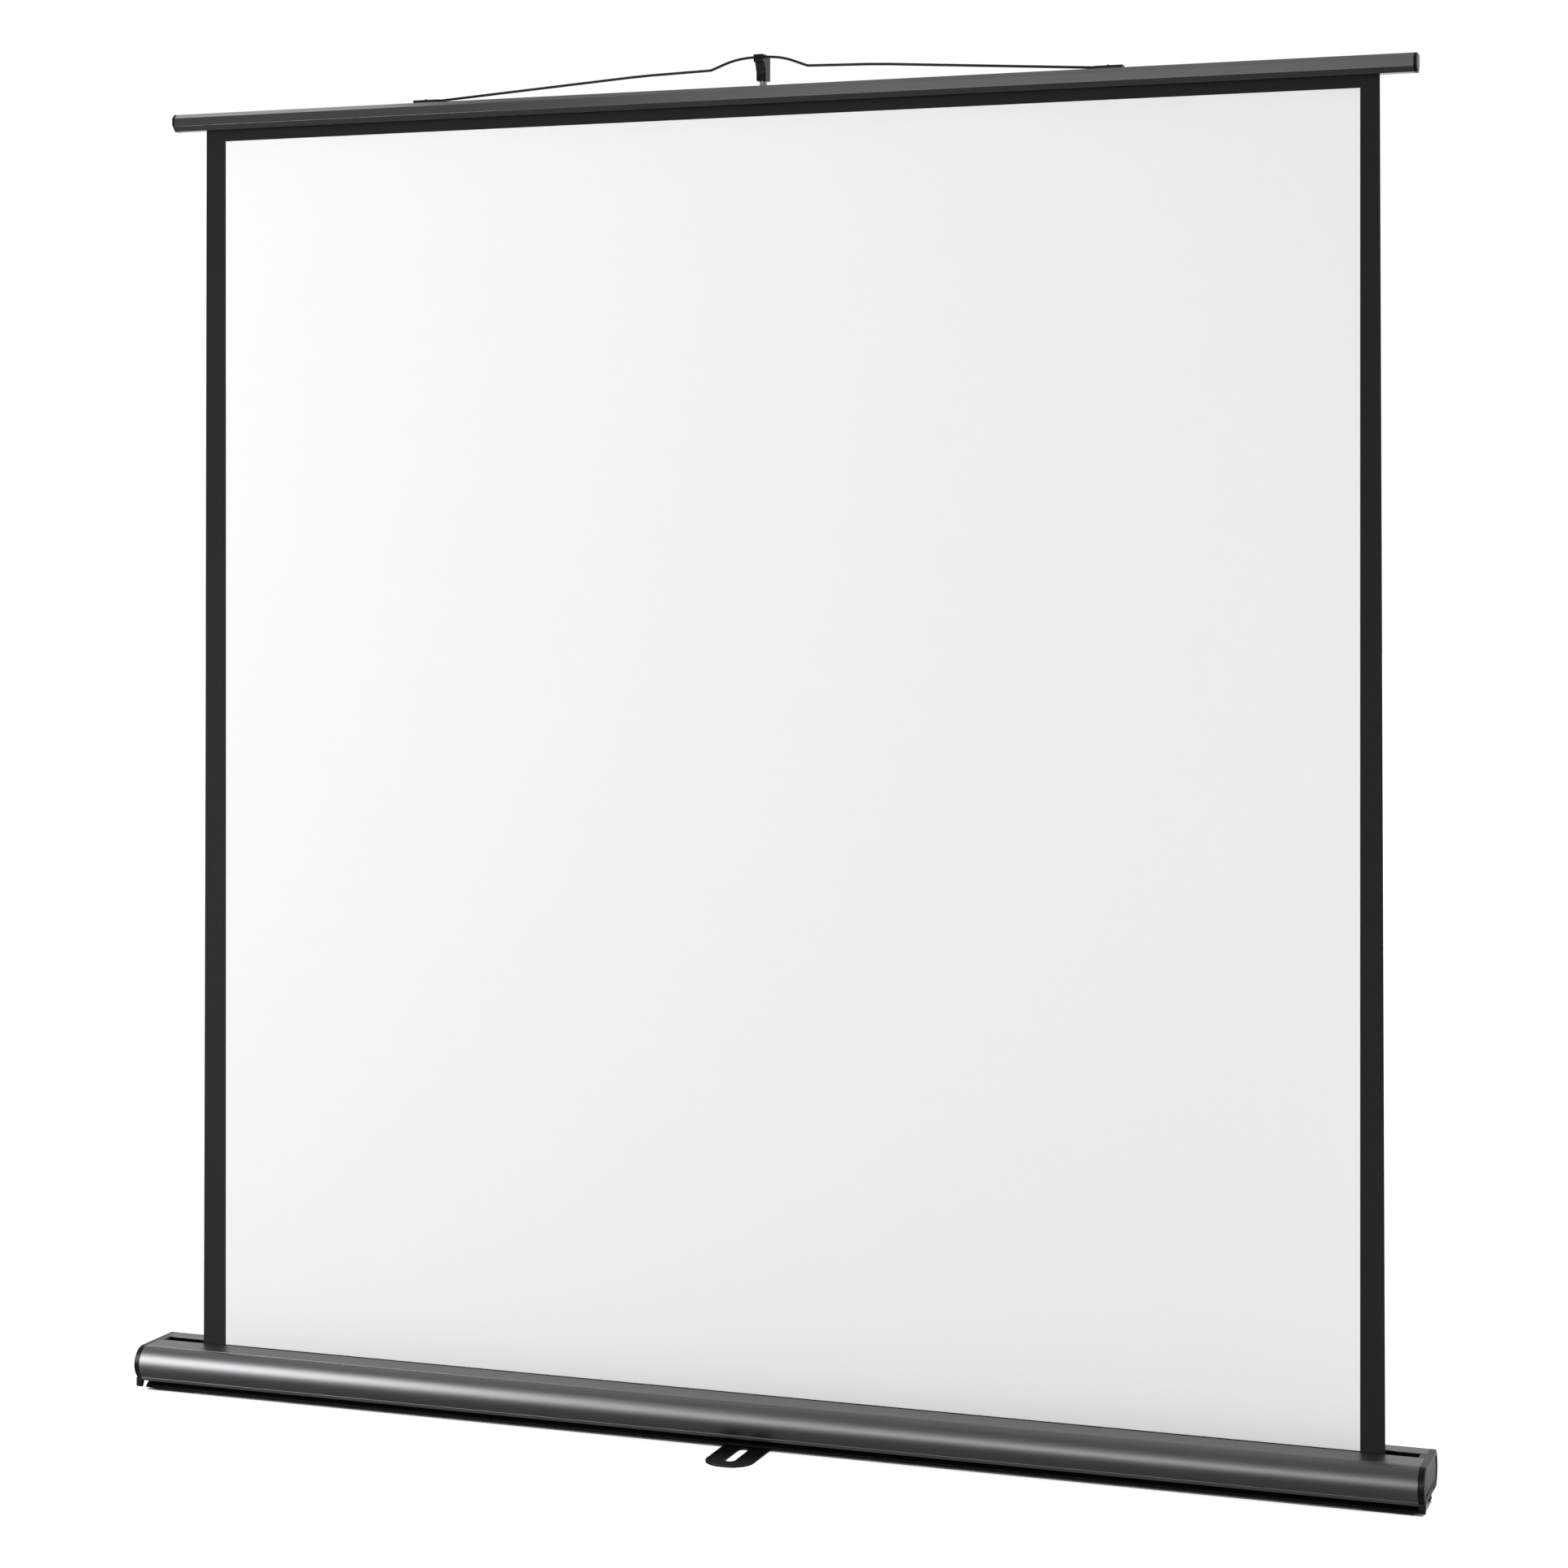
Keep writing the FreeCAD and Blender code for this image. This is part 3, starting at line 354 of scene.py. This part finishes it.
# Moulded ABS, spark-eroded in the mould: near black, with a fine even grain that spreads the light.
# The real grain is about 0.1 mm, and 0.8 mm here so that it shows.
grain_size = 0.8 * mm
patch_size = 25 * mm
moulded, tree, skin = new_finish("moulded_black_abs")
skin.inputs["IOR"].default_value = 1.53
skin.inputs["Specular IOR Level"].default_value = 0.16
place = node(tree, "ShaderNodeTexCoord")
grain = node(tree, "ShaderNodeTexNoise",
             {"Vector": place.outputs["Object"], "Scale": 1 / grain_size, "Detail": 2.0})
patches = node(tree, "ShaderNodeTexNoise",
               {"Vector": place.outputs["Object"], "Scale": 1 / patch_size, "Detail": 3.0})
tint = node(tree, "ShaderNodeMix", {0: patches.outputs["Fac"], 6: linear("#0a0a0b"), 7: linear("#0f0f10")},
            data_type="RGBA")
gloss = node(tree, "ShaderNodeMapRange", {"Value": patches.outputs["Fac"], "To Min": 0.32, "To Max": 0.42})
dimples = node(tree, "ShaderNodeBump",
               {"Height": grain.outputs["Fac"], "Strength": 0.12, "Distance": 0.1 * mm})
tree.links.new(tint.outputs[2], skin.inputs["Base Color"])
tree.links.new(gloss.outputs[0], skin.inputs["Roughness"])
tree.links.new(dimples.outputs[0], skin.inputs["Normal"])
clad(caps, moulded)

# Screws: blackened steel, turned and zinc plated, in the end caps, the rail, the mast's bracket and
# the wire's clips. They keep their CAD shape, merged so that the heads shade round, with stains of
# about 1.4 mm in the blacking.
screws = [dressed(name, 0.15 * mm)
          for name in ("end_cap_screws", "rail_screws", "bracket_screws", "clip_rivets")]
stain_size = 1.43 * mm
blackened, tree, skin = new_finish("blackened_zinc_steel", metallic=1.0)
place = node(tree, "ShaderNodeTexCoord")
stains = node(tree, "ShaderNodeTexNoise",
              {"Vector": place.outputs["Object"], "Scale": 1 / stain_size, "Detail": 3.0})
tint = node(tree, "ShaderNodeMix", {0: stains.outputs["Fac"], 6: linear("#2c2c2e"), 7: linear("#454548")},
            data_type="RGBA")
gloss = node(tree, "ShaderNodeMapRange", {"Value": stains.outputs["Fac"], "To Min": 0.28, "To Max": 0.45})
tree.links.new(tint.outputs[2], skin.inputs["Base Color"])
tree.links.new(gloss.outputs[0], skin.inputs["Roughness"])
clad(screws, blackened)

# Base rail: a flared extrusion screwed under the case, with an open channel below in which the foot's
# pivot sits. It is anodised black and dull, with the same die lines as the case.
rail = dressed("base_rail", 0.3 * mm)
black_anodised, tree, skin = new_finish("anodised_black_aluminium")
skin.inputs["Specular IOR Level"].default_value = 0.08
place = node(tree, "ShaderNodeTexCoord")
along = node(tree, "ShaderNodeMapping", {"Vector": place.outputs["Object"], "Scale": along_x})
lines = node(tree, "ShaderNodeTexNoise", {"Vector": along.outputs[0], "Scale": 1.0, "Detail": 2.0})
tint = node(tree, "ShaderNodeMix", {0: lines.outputs["Fac"], 6: linear("#060607"), 7: linear("#0b0b0c")},
            data_type="RGBA")
gloss = node(tree, "ShaderNodeMapRange", {"Value": lines.outputs["Fac"], "To Min": 0.5, "To Max": 0.6})
tree.links.new(tint.outputs[2], skin.inputs["Base Color"])
tree.links.new(gloss.outputs[0], skin.inputs["Roughness"])
clad([rail], black_anodised)

# Rail pads: four small blocks of moulded rubber, glued under the ends of the rail. They hold it off
# the floor, so that the foot can turn beneath it. The rubber is dull, with a grey bloom in spots of
# about 3 mm.
pads = dressed("rail_pads", 0.5 * mm)
bloom_size = 3.33 * mm
rubber, tree, skin = new_finish("moulded_black_rubber")
skin.inputs["IOR"].default_value = 1.52
skin.inputs["Specular IOR Level"].default_value = 0.3
place = node(tree, "ShaderNodeTexCoord")
bloom = node(tree, "ShaderNodeTexNoise",
             {"Vector": place.outputs["Object"], "Scale": 1 / bloom_size, "Detail": 3.0})
tint = node(tree, "ShaderNodeMix", {0: bloom.outputs["Fac"], 6: linear("#141414"), 7: linear("#1e1e1e")},
            data_type="RGBA")
gloss = node(tree, "ShaderNodeMapRange", {"Value": bloom.outputs["Fac"], "To Min": 0.7, "To Max": 0.85})
tree.links.new(tint.outputs[2], skin.inputs["Base Color"])
tree.links.new(gloss.outputs[0], skin.inputs["Roughness"])
clad([pads], rubber)

# Swivel foot: a pressed steel strip with a raised rim and two grip slots, on a bolt under the case.
# It turns across the case to keep it from tipping. Like the mast's bracket and the wire's clips it is
# powder coated black, with an orange peel of about 1 mm.
coated_pieces = [dressed("swivel_foot", 0.5 * mm), dressed("mast_bracket", 0.4 * mm),
                 dressed("wire_clips", 0.3 * mm)]
peel_size = 1.11 * mm
cloud_size = 40 * mm
coated, tree, skin = new_finish("powder_coated_black_steel")
skin.inputs["Specular IOR Level"].default_value = 0.3
place = node(tree, "ShaderNodeTexCoord")
peel = node(tree, "ShaderNodeTexNoise",
            {"Vector": place.outputs["Object"], "Scale": 1 / peel_size, "Detail": 1.0})
cloud = node(tree, "ShaderNodeTexNoise",
             {"Vector": place.outputs["Object"], "Scale": 1 / cloud_size, "Detail": 3.0})
tint = node(tree, "ShaderNodeMix", {0: cloud.outputs["Fac"], 6: linear("#0c0c0d"), 7: linear("#131314")},
            data_type="RGBA")
gloss = node(tree, "ShaderNodeMapRange", {"Value": cloud.outputs["Fac"], "To Min": 0.36, "To Max": 0.48})
dimples = node(tree, "ShaderNodeBump",
               {"Height": peel.outputs["Fac"], "Strength": 0.15, "Distance": 0.1 * mm})
tree.links.new(tint.outputs[2], skin.inputs["Base Color"])
tree.links.new(gloss.outputs[0], skin.inputs["Roughness"])
tree.links.new(dimples.outputs[0], skin.inputs["Normal"])
clad(coated_pieces, coated)

# Spring roller: a steel tube inside the case. Its spring winds up between the left plug and a fixed
# shaft. The hem rod, the mast's pin and the foot's bolt are the same bright steel. Its die marks run
# along X, and are 2.5 mm wide here so that they show.
steel_pieces = [dressed(name) for name in ("roller_tube", "spring_shaft", "roller_spring", "hem_rod",
                                           "mast_pivot_pin", "foot_pivot_bolt")]
mark_length = 50 * mm
mark_width = 2.5 * mm
plain_steel, tree, skin = new_finish("bright_drawn_steel", metallic=1.0)
place = node(tree, "ShaderNodeTexCoord")
along = node(tree, "ShaderNodeMapping", {"Vector": place.outputs["Object"],
                                         "Scale": (1 / mark_length, 1 / mark_width, 1 / mark_width)})
marks = node(tree, "ShaderNodeTexNoise", {"Vector": along.outputs[0], "Scale": 1.0, "Detail": 3.0})
tint = node(tree, "ShaderNodeMix", {0: marks.outputs["Fac"], 6: linear("#9a9b9e"), 7: linear("#b9babd")},
            data_type="RGBA")
gloss = node(tree, "ShaderNodeMapRange", {"Value": marks.outputs["Fac"], "To Min": 0.25, "To Max": 0.42})
tree.links.new(tint.outputs[2], skin.inputs["Base Color"])
tree.links.new(gloss.outputs[0], skin.inputs["Roughness"])
clad(steel_pieces, plain_steel)

# Roller plugs: moulded like the end caps and pressed into the ends of the tube. The left one holds the
# spring's end, and the right one carries the gudgeon.
clad([dressed("spring_plug", 0.3 * mm), dressed("idler_plug", 0.3 * mm)], moulded)

# Bushes: turned from white nylon, with a faint cloudiness of about 5 mm. One carries the roller's
# gudgeon at the right, and the other sits on the bolt of the foot.
bushes = [dressed("gudgeon_bush", 0.2 * mm), dressed("foot_bush", 0.3 * mm)]
haze_size = 5 * mm
nylon, tree, skin = new_finish("turned_white_nylon")
skin.inputs["IOR"].default_value = 1.53
place = node(tree, "ShaderNodeTexCoord")
haze = node(tree, "ShaderNodeTexNoise",
            {"Vector": place.outputs["Object"], "Scale": 1 / haze_size, "Detail": 3.0})
tint = node(tree, "ShaderNodeMix", {0: haze.outputs["Fac"], 6: linear("#d6d3c8"), 7: linear("#e3e0d6")},
            data_type="RGBA")
gloss = node(tree, "ShaderNodeMapRange", {"Value": haze.outputs["Fac"], "To Min": 0.4, "To Max": 0.55})
tree.links.new(tint.outputs[2], skin.inputs["Base Color"])
tree.links.new(gloss.outputs[0], skin.inputs["Roughness"])
clad(bushes, nylon)

# Fabric: glass-fibre cloth coated with matt vinyl, white in front and black behind. A black border is
# printed at the sides, under the bar and, as a thin line, above the slot. It stands taut between the
# roller and the bar, with a little slack beside the middle and its edges drawn in towards the top.
slack_depth = 0.8 * mm
slack_waves = 5.2
slack_phase = 1.1
left_edge = (-1.7 * mm, 3.0 * mm)  # sideways shift of each edge, at the foot and at the top
right_edge = (3.0 * mm, -3.6 * mm)
sheet_low, sheet_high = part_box("projection_fabric")
sheet_width = sheet_high.x - sheet_low.x
sheet_length = sheet_high.z - sheet_low.z
sheet_middle = (sheet_low + sheet_high) / 2
bpy.ops.object.select_all(action="DESELECT")
bpy.ops.mesh.primitive_grid_add(x_subdivisions=64, y_subdivisions=66, size=1, location=sheet_middle,
                                rotation=(math.pi / 2, 0, 0))
sheet = bpy.context.object
sheet.name = "screen_sheet"
sheet.scale = (sheet_width, sheet_length, 1)
bpy.ops.object.transform_apply(location=True, rotation=True, scale=True)
for vertex in sheet.data.vertices:
    side = (vertex.co.x - sheet_middle.x) / (sheet_width / 2)
    rise = (vertex.co.z - sheet_low.z) / sheet_length
    slack = math.sin(math.pi * rise) ** 2
    vertex.co.y += slack_depth * slack * math.sin(slack_waves * side + slack_phase) * abs(side)
    at_foot, at_top = right_edge if side > 0 else left_edge
    vertex.co.x += (at_foot + (at_top - at_foot) * rise) * side * side


def thickened(piece, thickness, front, back):
    """Gives a sheet its thickness, one material in front and another behind and on its rim."""
    piece.data.materials.append(front)
    piece.data.materials.append(back)
    cloth = piece.modifiers.new("thickness", "SOLIDIFY")
    cloth.thickness = thickness
    cloth.offset = 0
    cloth.material_offset = 1
    cloth.material_offset_rim = 1
    bpy.ops.object.modifier_apply(modifier=cloth.name)


# White vinyl with its printed border, matt and embossed with a fine pebble. The real pebble is about
# 0.3 mm, and 1 mm here so that it shows.
field_left = -758.4 * mm
field_right = 781.8 * mm
field_top = 1697 * mm
field_bottom = 61.5 * mm
pebble_size = 1 * mm
vinyl, tree, skin = new_finish("matt_white_vinyl_with_black_border")
skin.inputs["Specular IOR Level"].default_value = 0.11
skin.inputs["Roughness"].default_value = 0.85
place = node(tree, "ShaderNodeTexCoord")
axes = node(tree, "ShaderNodeSeparateXYZ", {0: place.outputs["Object"]})
across = node(tree, "ShaderNodeMath", {0: axes.outputs["X"], 1: (field_left + field_right) / 2},
              operation="SUBTRACT")
reach = node(tree, "ShaderNodeMath", {0: across.outputs[0]}, operation="ABSOLUTE")
at_side = node(tree, "ShaderNodeMath", {0: reach.outputs[0], 1: (field_right - field_left) / 2},
               operation="GREATER_THAN")
at_bar = node(tree, "ShaderNodeMath", {0: axes.outputs["Z"], 1: field_top}, operation="GREATER_THAN")
at_slot = node(tree, "ShaderNodeMath", {0: axes.outputs["Z"], 1: field_bottom}, operation="LESS_THAN")
at_end = node(tree, "ShaderNodeMath", {0: at_bar.outputs[0], 1: at_slot.outputs[0]}, operation="MAXIMUM")
printed = node(tree, "ShaderNodeMath", {0: at_side.outputs[0], 1: at_end.outputs[0]}, operation="MAXIMUM")
pebble = node(tree, "ShaderNodeTexNoise",
              {"Vector": place.outputs["Object"], "Scale": 1 / pebble_size, "Detail": 1.0})
chalk = node(tree, "ShaderNodeMix", {0: pebble.outputs["Fac"], 6: linear("#f2f2f2"), 7: linear("#f8f8f8")},
             data_type="RGBA")
ink = node(tree, "ShaderNodeMix", {0: pebble.outputs["Fac"], 6: linear("#1e1e1f"), 7: linear("#272728")},
           data_type="RGBA")
print_on = node(tree, "ShaderNodeMix", {0: printed.outputs[0], 6: chalk.outputs[2], 7: ink.outputs[2]},
                data_type="RGBA")
emboss = node(tree, "ShaderNodeBump",
              {"Height": pebble.outputs["Fac"], "Strength": 0.1, "Distance": 0.1 * mm})
tree.links.new(print_on.outputs[2], skin.inputs["Base Color"])
tree.links.new(emboss.outputs[0], skin.inputs["Normal"])

# Black vinyl behind, through which the weave shows. The real threads are about 0.5 mm apart, and 2 mm
# here so that they show. At scale 1 the wave of one thread is 2 pi / 20 long.
thread_gap = 1.9635 * mm
thread_scale = 2 * math.pi / 20 / thread_gap
backing, tree, skin = new_finish("black_vinyl_backing")
skin.inputs["Specular IOR Level"].default_value = 0.2
skin.inputs["Roughness"].default_value = 0.8
place = node(tree, "ShaderNodeTexCoord")
warp = node(tree, "ShaderNodeTexWave", {"Vector": place.outputs["Object"], "Scale": thread_scale},
            bands_direction="X")
weft = node(tree, "ShaderNodeTexWave", {"Vector": place.outputs["Object"], "Scale": thread_scale},
            bands_direction="Z")
weave = node(tree, "ShaderNodeMath", {0: warp.outputs["Fac"], 1: weft.outputs["Fac"]}, operation="MULTIPLY")
tint = node(tree, "ShaderNodeMix", {0: weave.outputs[0], 6: linear("#161616"), 7: linear("#222222")},
            data_type="RGBA")
threads = node(tree, "ShaderNodeBump", {"Height": weave.outputs[0], "Strength": 0.2, "Distance": 0.2 * mm})
tree.links.new(tint.outputs[2], skin.inputs["Base Color"])
tree.links.new(threads.outputs[0], skin.inputs["Normal"])
thickened(sheet, 0.45 * mm, vinyl, backing)
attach(sheet, "case")
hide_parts("projection_fabric")
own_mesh(sheet)

# Turns left on the roller: the same cloth, wound on itself in a spiral under the slot. They turn
# with the roller as the screen goes down.
roll_start = 16.3 * mm
roll_end = 16.95 * mm
roll_turns = 2.25
roll_low, roll_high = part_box("fabric_roll")
roll_axis = (roll_low + roll_high) / 2
roll_width = roll_high.x - roll_low.x
bpy.ops.object.select_all(action="DESELECT")
bpy.ops.mesh.primitive_grid_add(x_subdivisions=1, y_subdivisions=108, size=1)
roll = bpy.context.object
roll.name = "wound_turns"
for vertex in roll.data.vertices:
    share = vertex.co.y + 0.5
    angle = 2 * math.pi * roll_turns * share
    radius = roll_start + (roll_end - roll_start) * share
    vertex.co = (roll_axis.x + vertex.co.x * roll_width,
                 roll_axis.y + radius * math.cos(angle), roll_axis.z + radius * math.sin(angle))
thickened(roll, 0.2 * mm, backing, backing)
bpy.ops.object.shade_smooth_by_angle(angle=math.radians(30))
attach(roll, "roller")
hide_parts("fabric_roll")

# Top bar: a hollow aluminium extrusion, anodised like the case but smoother, whose slot grips the
# fabric's hem. Its section, in millimetres from the bar's bottom or top, runs from the slot up the back,
# over the top, down the bevelled front to its sharp lower edge, and back inside the 1.5 mm wall.
bar_low, bar_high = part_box("top_bar")
bottom = bar_low.z
top = bar_high.z
points = [(0.6, bottom, 0), (3.4, bottom, 0), (4.4, bottom, 0.9), (7.9, bottom, 8.2), (8, bottom, 8.8),
          (8, top, -5.2), (6.8, top, -1.1), (5.4, top, 0), (-9.4, top, 0), (-15, top, -5.6),
          (-15, bottom, 6.5), (-9.2, bottom, 0), (-0.6, bottom, 0),
          (-0.6, bottom, 1.5), (-8.5, bottom, 1.5), (-13.5, bottom, 7.1), (-13.5, top, -5.6),
          (-9.4, top, -1.5), (5.4, top, -1.5), (6.5, top, -5.2), (6.5, bottom, 8.8), (3.1, bottom, 1.5),
          (0.6, bottom, 1.5)]
section = [(y * mm, edge + rise * mm) for y, edge, rise in points]
bar = extruded("top_bar_made", section, bar_low.x, bar_high.x)
soften(bar, 0.15 * mm, angle=20)
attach(bar, "bar")
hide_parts("top_bar")
clad([bar], anodised("anodised_graphite_bar", "#6c6c6d", "#727273", 0.19, 0.22))

# Bar plugs: moulded like the end caps and pressed into the bar's ends, where they close the hollow and
# keep the hem rod in.
clad([dressed("bar_plug_left"), dressed("bar_plug_right")], moulded)

# Hanger wire: one length of black spring wire from clip to clip on the bar, lifted into a shallow peak by the
# hook. It is drawn a little thicker than the CAD solid, to match the photograph.
thicker_by = 0.2 * mm
wire = dressed("hanger_wire")
bpy.ops.object.mode_set(mode="EDIT")
bpy.ops.mesh.select_all(action="SELECT")
bpy.ops.transform.shrink_fatten(value=thicker_by)
bpy.ops.object.mode_set(mode="OBJECT")
clad([wire], coated)
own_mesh(wire)

# Mast: four steel tubes that slide into each other, in a knuckle that folds down along the case. They
# are nickel plated and rubbed lengthwise by their sliding, in streaks 2.5 mm wide so that they show.
tubes = [dressed("mast_tube_%d" % i, 0.1 * mm) for i in (1, 2, 3, 4)]
streak_length = 83.3 * mm
streak_width = 2.5 * mm
plated, tree, skin = new_finish("nickel_plated_tube", metallic=1.0)
place = node(tree, "ShaderNodeTexCoord")
along = node(tree, "ShaderNodeMapping", {"Vector": place.outputs["Object"],
                                         "Scale": (1 / streak_width, 1 / streak_width, 1 / streak_length)})
streaks = node(tree, "ShaderNodeTexNoise", {"Vector": along.outputs[0], "Scale": 1.0, "Detail": 3.0})
tint = node(tree, "ShaderNodeMix", {0: streaks.outputs["Fac"], 6: linear("#9a9b9e"), 7: linear("#b2b3b6")},
            data_type="RGBA")
gloss = node(tree, "ShaderNodeMapRange", {"Value": streaks.outputs["Fac"], "To Min": 0.12, "To Max": 0.26})
tree.links.new(tint.outputs[2], skin.inputs["Base Color"])
tree.links.new(gloss.outputs[0], skin.inputs["Roughness"])
clad(tubes, plated)

# Mast fittings: the folding knuckle, a split collar on each of the three outer tubes and the scalloped
# thumb knob that clamps it from behind, all moulded like the end caps.
fittings = [dressed("mast_knuckle", 0.4 * mm)]
for i in (1, 2, 3):
    fittings.append(dressed("mast_collar_%d" % i, 0.2 * mm))
    fittings.append(dressed("clamp_knob_%d" % i, 0.3 * mm))
clad(fittings, moulded)

# Hook head: a moulded block on the thinnest tube, with a swan neck, and a lip and groove that catch
# the wire.
clad([dressed("hook_head", 0.3 * mm)], moulded)
